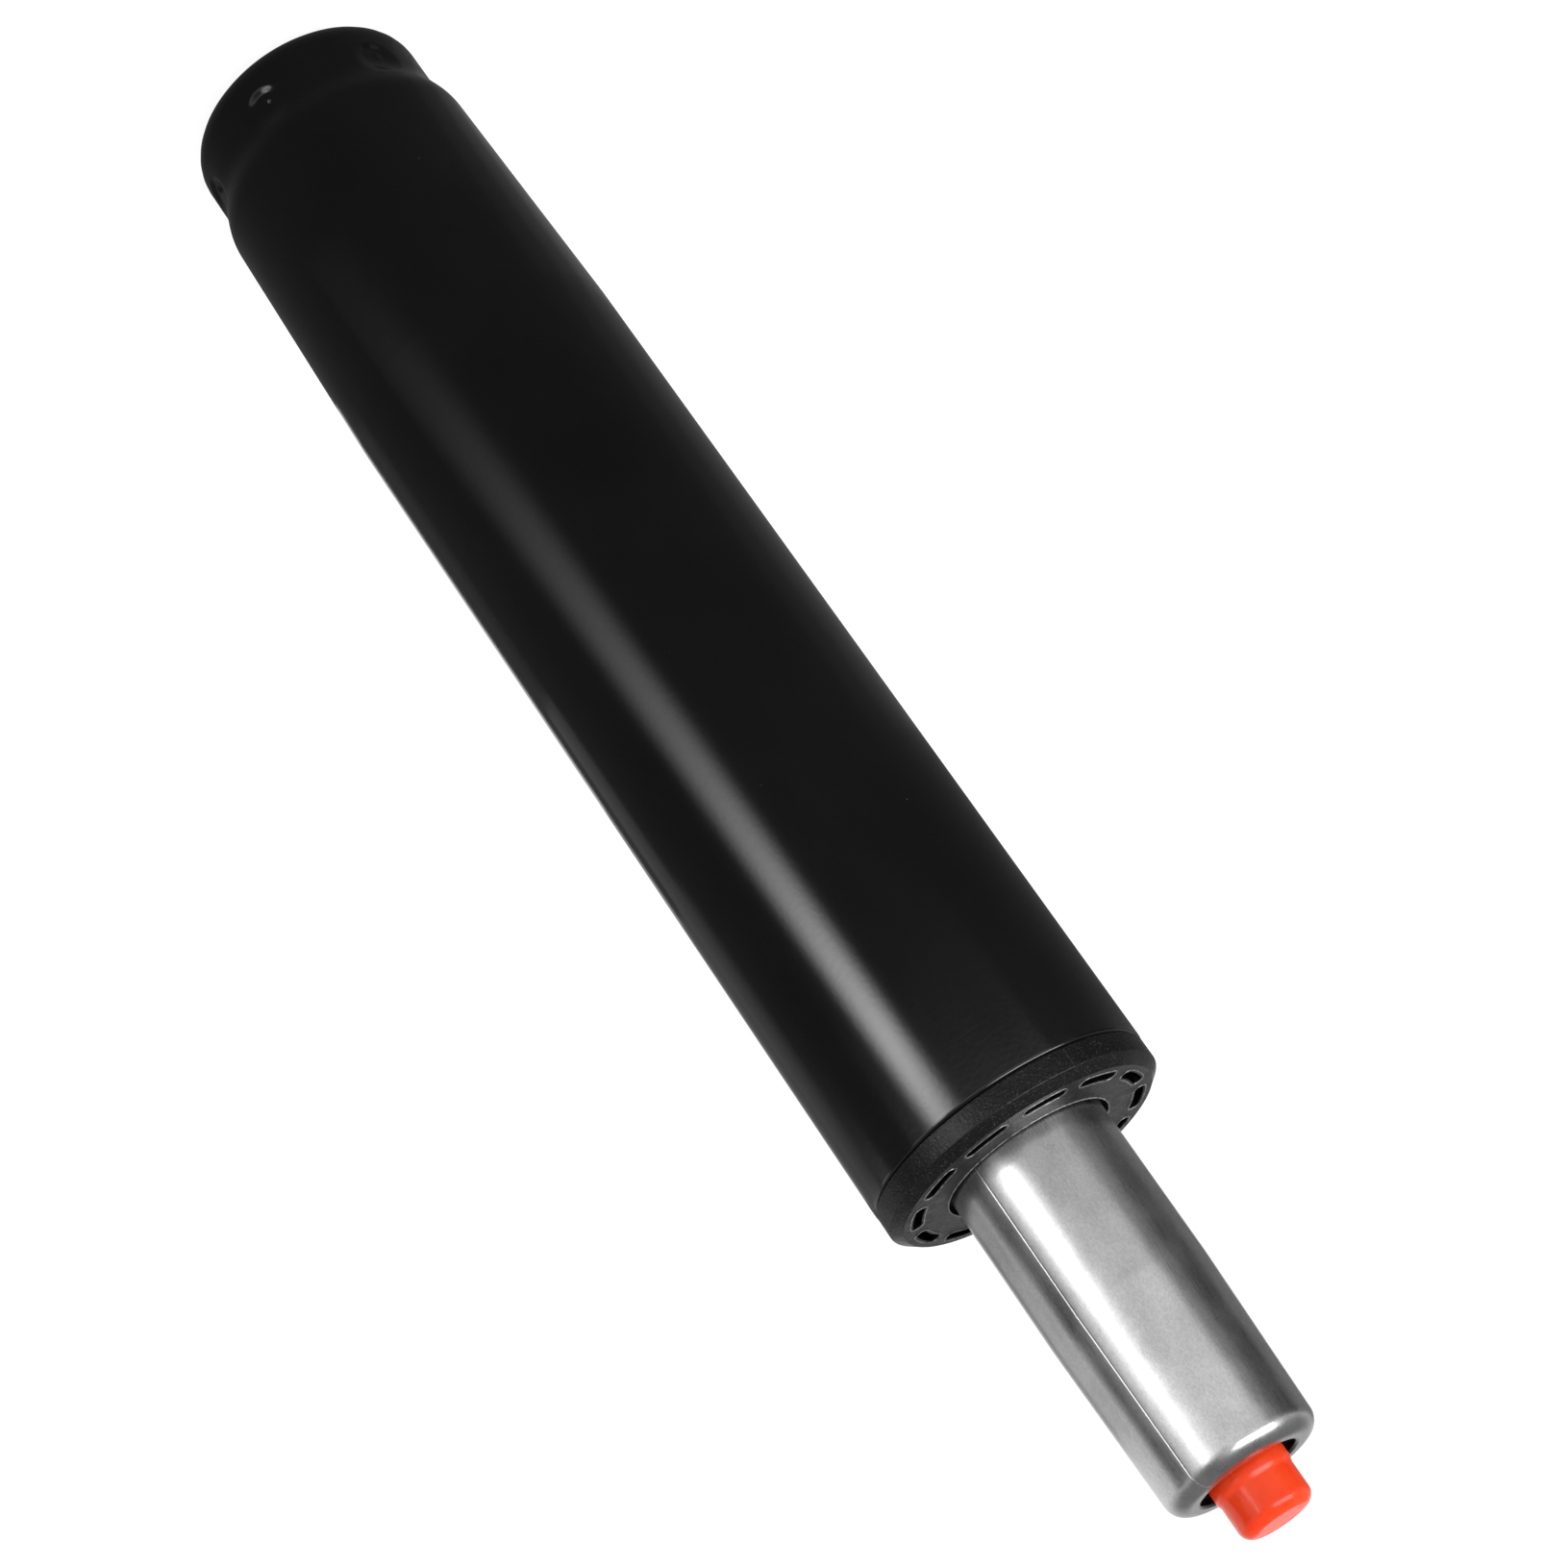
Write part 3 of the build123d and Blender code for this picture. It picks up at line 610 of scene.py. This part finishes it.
ground_steel, tree, shader, place = new_finish("ground_steel")
streaks = grain(tree, place, size=(0.16, 0.16, 9), detail=3.0, seed=21.0)
smudges = grain(tree, place, size=(5, 5, 9), detail=6.0, seed=22.0)
speckle = grain(tree, place, size=(0.25, 0.25, 0.4), detail=2.0, seed=22.5)
radius, turn = about_axis(tree, place)
from_scribe = sums(tree, "ABSOLUTE", sums(tree, "SUBTRACT", turn, scribe_angle))
# Painted glint: along the scribed line the colour is brightened up to 1.6 times.
shade = sums(tree, "MULTIPLY",
             spread(tree, from_scribe, (0, scribe_width), (scribe_painted_glint, 1)),
             spread(tree, speckle, speckle_span, speckle_shade))
# Painted shade: nearer the axis than about 9 mm, inside the open end, the colour darkens to a
# twentieth.
shade = sums(tree, "MULTIPLY", shade, spread(tree, radius, bore_shade, (painted_bore_shade_level, 1)))
colour = times(tree, tint(tree, smudges, steel_greys), shade)
tree.links.new(colour, shader.inputs["Base Color"])
shader.inputs["Metallic"].default_value = 1.0
roughness = sums(tree, "ADD",
                 spread(tree, streaks, cloud_span, streak_roughness),
                 spread(tree, smudges, smudge_span, smudge_roughness))
tree.links.new(roughness, shader.inputs["Roughness"])
grained(tree, shader, place, size=(0.2, 0.2, 14), detail=3.0, seed=23.0, depth=0.0014)
grained(tree, shader, place, size=(0.35, 0.35, 0.5), detail=3.0, seed=24.0, depth=0.0016)
relief(tree, shader, spread(tree, from_scribe, (0, scribe_width), (0, 1)), scribe_depth)
dress(ground_steel, "pressure_tube")

drawn_greys = [(0.3, (0.34, 0.34, 0.35)), (0.7, (0.50, 0.50, 0.50))]

drawn_steel, tree, shader, place = clouded(
    "drawn_steel", size=(8, 8, 30), detail=5.0, seed=25.0,
    colours=drawn_greys, roughness=(0.25, 0.42), metal=1.0)
grained(tree, shader, place, size=(0.3, 0.3, 20), detail=3.0, seed=26.0, depth=0.006)
dress(drawn_steel, "inner_cylinder")


# Release button. Glossy orange-red moulded cap pressed on the valve's pin, its edges rounded and
# its sides a little wavy from the mould.

cap_reds = [(0.3, (0.98, 0.048, 0.008)), (0.7, (1.0, 0.076, 0.017))]
cap_edge_round = 0.8 * millimetre
cap_glow_depth = 1.5 * millimetre

red_cap, tree, shader, place = clouded(
    "red_cap", size=(3, 3, 5), detail=4.0, seed=27.0,
    colours=cap_reds, roughness=(0.15, 0.24))
shader.inputs["Specular IOR Level"].default_value = 0.3
shader.inputs["Subsurface Weight"].default_value = 0.15
shader.inputs["Subsurface Radius"].default_value = (1.0, 0.2, 0.1)
shader.inputs["Subsurface Scale"].default_value = cap_glow_depth
soft_edges = tree.nodes.new("ShaderNodeBevel")
soft_edges.inputs["Radius"].default_value = cap_edge_round
tree.links.new(soft_edges.outputs["Normal"], shader.inputs["Normal"])
grained(tree, shader, place, size=(1.8, 1.8, 1.8), detail=2.0, seed=28.0, depth=0.09)
dress(red_cap, "release_button")


# Studio. A plain pale floor and white walls that show white to the camera and in clear or polished
# pieces. A grey mat, papers, boards and flags round the foot, seen only in reflections, keep the
# black coat black and draw its edges. They are glowing cards whose brightness is painted light,
# standing in for lit sheets; the strip on the key light paper is a painted pool of the key lamp's
# light.

floor_reach = 6.0
floor_drop = 0.0004
floor_glow = 0.93
floor_grey = (0.16, 0.16, 0.16, 1)


def seen_directly(tree):
    """One where the camera, a mirror or clear glass looks, nought where only light is gathered."""
    path = tree.nodes.new("ShaderNodeLightPath")
    seen = path.outputs["Is Camera Ray"]
    for kind in ("Is Glossy Ray", "Is Transmission Ray"):
        seen = sums(tree, "MAXIMUM", seen, path.outputs[kind])
    return seen


def card_material(name, brightness=0.0):
    """Card of one brightness whatever the light."""
    card = bpy.data.materials.new(name)
    card.use_nodes = True
    tree = card.node_tree
    tree.nodes.clear()
    glow = tree.nodes.new("ShaderNodeEmission")
    glow.inputs["Strength"].default_value = brightness
    out = tree.nodes.new("ShaderNodeOutputMaterial")
    tree.links.new(glow.outputs["Emission"], out.inputs["Surface"])
    return card


floor_paper = card_material("floor_paper")
tree = floor_paper.node_tree
glow = tree.nodes["Emission"]
out = tree.nodes["Material Output"]
tree.links.new(spread(tree, seen_directly(tree), (0, 1), (0, floor_glow)), glow.inputs["Strength"])
paper = tree.nodes.new("ShaderNodeBsdfDiffuse")
paper.inputs["Color"].default_value = floor_grey
both = tree.nodes.new("ShaderNodeAddShader")
tree.links.new(glow.outputs["Emission"], both.inputs[0])
tree.links.new(paper.outputs["BSDF"], both.inputs[1])
tree.links.new(both.outputs["Shader"], out.inputs["Surface"])


def stage_piece(name, corners, faces, material, in_view=False):
    """A sheet of the studio; only the floor is seen by the camera and takes shadows."""
    mesh = bpy.data.meshes.new(name)
    mesh.from_pydata(corners, [], faces)
    mesh.materials.append(material)
    piece = bpy.data.objects.new(name, mesh)
    bpy.context.scene.collection.objects.link(piece)
    if not in_view:
        piece.visible_camera = False
        piece.visible_diffuse = False
        piece.visible_shadow = False


floor_corners = [(x * floor_reach, y * floor_reach, -floor_drop)
                 for x, y in ((-1, -1), (1, -1), (1, 1), (-1, 1))]
stage_piece("floor", floor_corners, [(0, 1, 2, 3)], floor_paper, in_view=True)

ceiling_from = (0.05, 0.45)
wall_and_ceiling = (0.9, 0.2)
seen_glow = 1.0
gathered_glow = 0.95

world = bpy.data.worlds.new("studio_walls")
bpy.context.scene.world = world
world.use_nodes = True
tree = world.node_tree
walls = tree.nodes["Background"]
walls.inputs["Color"].default_value = (1, 1, 1, 1)
heading = tree.nodes.new("ShaderNodeTexCoord").outputs["Generated"]
parts = tree.nodes.new("ShaderNodeSeparateXYZ")
tree.links.new(heading, parts.inputs["Vector"])
path = tree.nodes.new("ShaderNodeLightPath")
mirrored = tree.nodes.new("ShaderNodeMix")
mirrored.data_type = "FLOAT"
mirrored.inputs["A"].default_value = seen_glow
tree.links.new(path.outputs["Is Glossy Ray"], mirrored.inputs["Factor"])
tree.links.new(spread(tree, parts.outputs["Z"], ceiling_from, wall_and_ceiling),
               mirrored.inputs["B"])
gathered = tree.nodes.new("ShaderNodeMix")
gathered.data_type = "FLOAT"
gathered.inputs["A"].default_value = gathered_glow
tree.links.new(seen_directly(tree), gathered.inputs["Factor"])
tree.links.new(mirrored.outputs["Result"], gathered.inputs["B"])
tree.links.new(gathered.outputs["Result"], walls.inputs["Strength"])

sheet_step = 5


def curved_sheet(name, first, last, rows, card):
    """Sheet bent round the piece between two bearings, through rows of (radius, height)."""
    steps = max(2, round((last - first) / sheet_step))
    turns = [math.radians(first + (last - first) * step / steps) for step in range(steps + 1)]
    corners = [polar(radius, turn, height) for radius, height in rows for turn in turns]
    faces = []
    for row in range(len(rows) - 1):
        for step in range(steps):
            a = row * (steps + 1) + step
            faces.append((a, a + 1, a + steps + 2, a + steps + 1))
    stage_piece(name, corners, faces, card)


mat_height = -floor_drop / 2
mat_reach = 0.81
mat_brightness = 0.1
mat_rows = [(0.001, mat_height), (mat_reach, mat_height)]
near_rows = [(0.02, 0.0), (0.13, 0.0)]
far_rows = [(0.13, 0.0), (0.42, 0.0)]
flag_rows = [(0.82, 0.0), (0.82, 0.4)]

# name, brightness, first and last bearing, rows
plain_sheets = [
    ("grey_mat", mat_brightness, 0, 360, mat_rows),
    ("grey_board_foot", 0.09, 13, 56, [(0.10, 0.0), (0.12, 0.13)]),
    ("grey_board", 0.20, 13, 62, [(0.12, 0.13), (0.14, 0.26)]),
    ("edge_board_foot", 0.8, 55, 85, [(0.10, 0.0), (0.12, 0.10)]),
    ("edge_board", 0.5, 55, 82, [(0.12, 0.10), (0.14, 0.19)]),
    ("pale_board_foot", 0.13, 18, 36, [(0.09, 0.02), (0.10, 0.09)]),
    ("pale_board", 0.28, 18, 39, [(0.10, 0.09), (0.121, 0.2)]),
    ("near_paper_back", 0.22, 105, 146, near_rows),
    ("near_paper_side", 0.165, 146, 166, near_rows),
    ("near_paper_edge", 0.125, 166, 186, near_rows),
    ("far_paper_back", 0.16, 105, 152, far_rows),
    ("far_paper_side", 0.13, 152, 174, far_rows),
    ("pale_board_middle", 0.46, 18, 46, [(0.121, 0.2), (0.1245, 0.225)]),
    ("pale_board_top", 0.66, 18, 46, [(0.1245, 0.225), (0.13, 0.26)]),
    ("dark_flag_right", 0.06, -26, 6, flag_rows),
    ("dark_flag_left", 0.05, 150, 190, flag_rows),
    ("grey_flag_left", 0.25, 190, 212, flag_rows),
    ("grey_flag_back", 0.2, 105, 150, flag_rows),
]
for name, brightness, first, last, rows in plain_sheets:
    curved_sheet(name, first, last, rows, card_material(name, brightness))

lit_bearing = -59.2
lit_sides = (-24, 34)
lit_rows = [(0.08, 0.0), (0.8, 0.0)]
lit_shift = 0.038
lit_width = (0.044, 0.285)
lit_strength = 26.0
lit_rise = 2.5
lit_fade = (0.755, 0.81)
lit_left = 0.15


def measured_along(tree, bearing):
    """Distance of the point from the axis, measured along a bearing in degrees."""
    measure = tree.nodes.new("ShaderNodeVectorMath")
    measure.operation = "DOT_PRODUCT"
    measure.inputs[1].default_value = polar(1, math.radians(bearing), 0)
    tree.links.new(tree.nodes.new("ShaderNodeTexCoord").outputs["Object"], measure.inputs[0])
    return measure.outputs["Value"]


# Painted light: a glowing strip along the key lamp's bearing that grows brighter away from the
# foot, standing in for the key lamp's light falling on the table, seen only in reflections.
painted_key_light_paper = card_material("painted_key_light_paper")
tree = painted_key_light_paper.node_tree
along = measured_along(tree, lit_bearing)
aside = sums(tree, "SUBTRACT", measured_along(tree, lit_bearing + 90), lit_shift)
reach = sums(tree, "ADD", sums(tree, "MULTIPLY", along, lit_width[1]), lit_width[0])
inside = sums(tree, "DIVIDE", sums(tree, "ABSOLUTE", aside), reach)
inside = spread(tree, inside, (0, 1), (1, 0), "SMOOTHERSTEP")
rise = sums(tree, "MULTIPLY", sums(tree, "POWER", along, lit_rise), lit_strength)
rise = sums(tree, "MULTIPLY", rise, spread(tree, along, lit_fade, (1, lit_left)))
lit = sums(tree, "ADD", sums(tree, "MULTIPLY", inside, rise), mat_brightness)
tree.links.new(lit, tree.nodes["Emission"].inputs["Strength"])
curved_sheet("painted_key_light_paper", lit_bearing + lit_sides[0], lit_bearing + lit_sides[1],
             lit_rows, painted_key_light_paper)

lamp_aim = Vector((0, 0, 0.2))


def soft_lamp(name, place, width, height, radiance, mirrored=True):
    """Area lamp of an even brightness, aimed at the piece."""
    lamp = bpy.data.lights.new(name, "AREA")
    lamp.shape = "RECTANGLE"
    lamp.size = width
    lamp.size_y = height
    lamp.energy = radiance * math.pi * width * height
    holder = bpy.data.objects.new(name, lamp)
    holder.location = place
    holder.rotation_mode = "QUATERNION"
    holder.rotation_quaternion = (lamp_aim - place).to_track_quat("-Z", "Y")
    holder.visible_camera = False
    holder.visible_glossy = mirrored
    bpy.context.scene.collection.objects.link(holder)


key_place = polar(0.8, math.radians(-53.5), 0.2)
top_place = Vector((-0.7, -0.5, 0.9))
soft_lamp("key_lamp", key_place, width=0.14, height=0.4, radiance=3.4)
soft_lamp("top_lamp", top_place, width=0.5, height=0.3, radiance=11.0, mirrored=False)

softbox_bearing = math.radians(-130)
softbox_reach = 0.8
softbox_height = 0.8
softbox_width = 1.0
softbox_rise = 0.36
softbox_brightness = 9.0
outward = polar(1, softbox_bearing, 0)
beside = Vector((-outward.y, outward.x, 0)) * softbox_width / 2
lean = Vector((-outward.x, -outward.y, 1)).normalized() * softbox_rise / 2
middle = outward * softbox_reach + Vector((0, 0, softbox_height))
softbox_corners = [middle - beside - lean, middle + beside - lean,
                   middle + beside + lean, middle - beside + lean]
stage_piece("softbox", softbox_corners, [(0, 1, 2, 3)],
            card_material("softbox", softbox_brightness))


# Camera. It stands where the photograph was taken from, above the button's end of the column and
# turned on its side: an 85 mm lens on a square 36 mm frame.

view_point = Vector((0.0, -0.557627, 0.401014))
view_right = Vector((-0.82123931, 0.22091146, 0.52608375))
view_up = Vector((-0.5705751, -0.32307234, -0.75502869))
view_back = Vector((0.00316862, -0.92022953, 0.39136628))
frame_pixels = 1631
lens_pixels = 3849.994

camera_data = bpy.data.cameras.new("camera")
camera_data.sensor_width = 36.0
camera_data.lens = lens_pixels / frame_pixels * camera_data.sensor_width
camera_data.clip_start = 0.01
camera = bpy.data.objects.new("camera", camera_data)
view_turn = Matrix((view_right, view_up, view_back)).transposed().to_4x4()
camera.matrix_world = Matrix.Translation(view_point) @ view_turn
bpy.context.scene.collection.objects.link(camera)
bpy.context.scene.camera = camera
bpy.context.scene.view_settings.view_transform = "Standard"
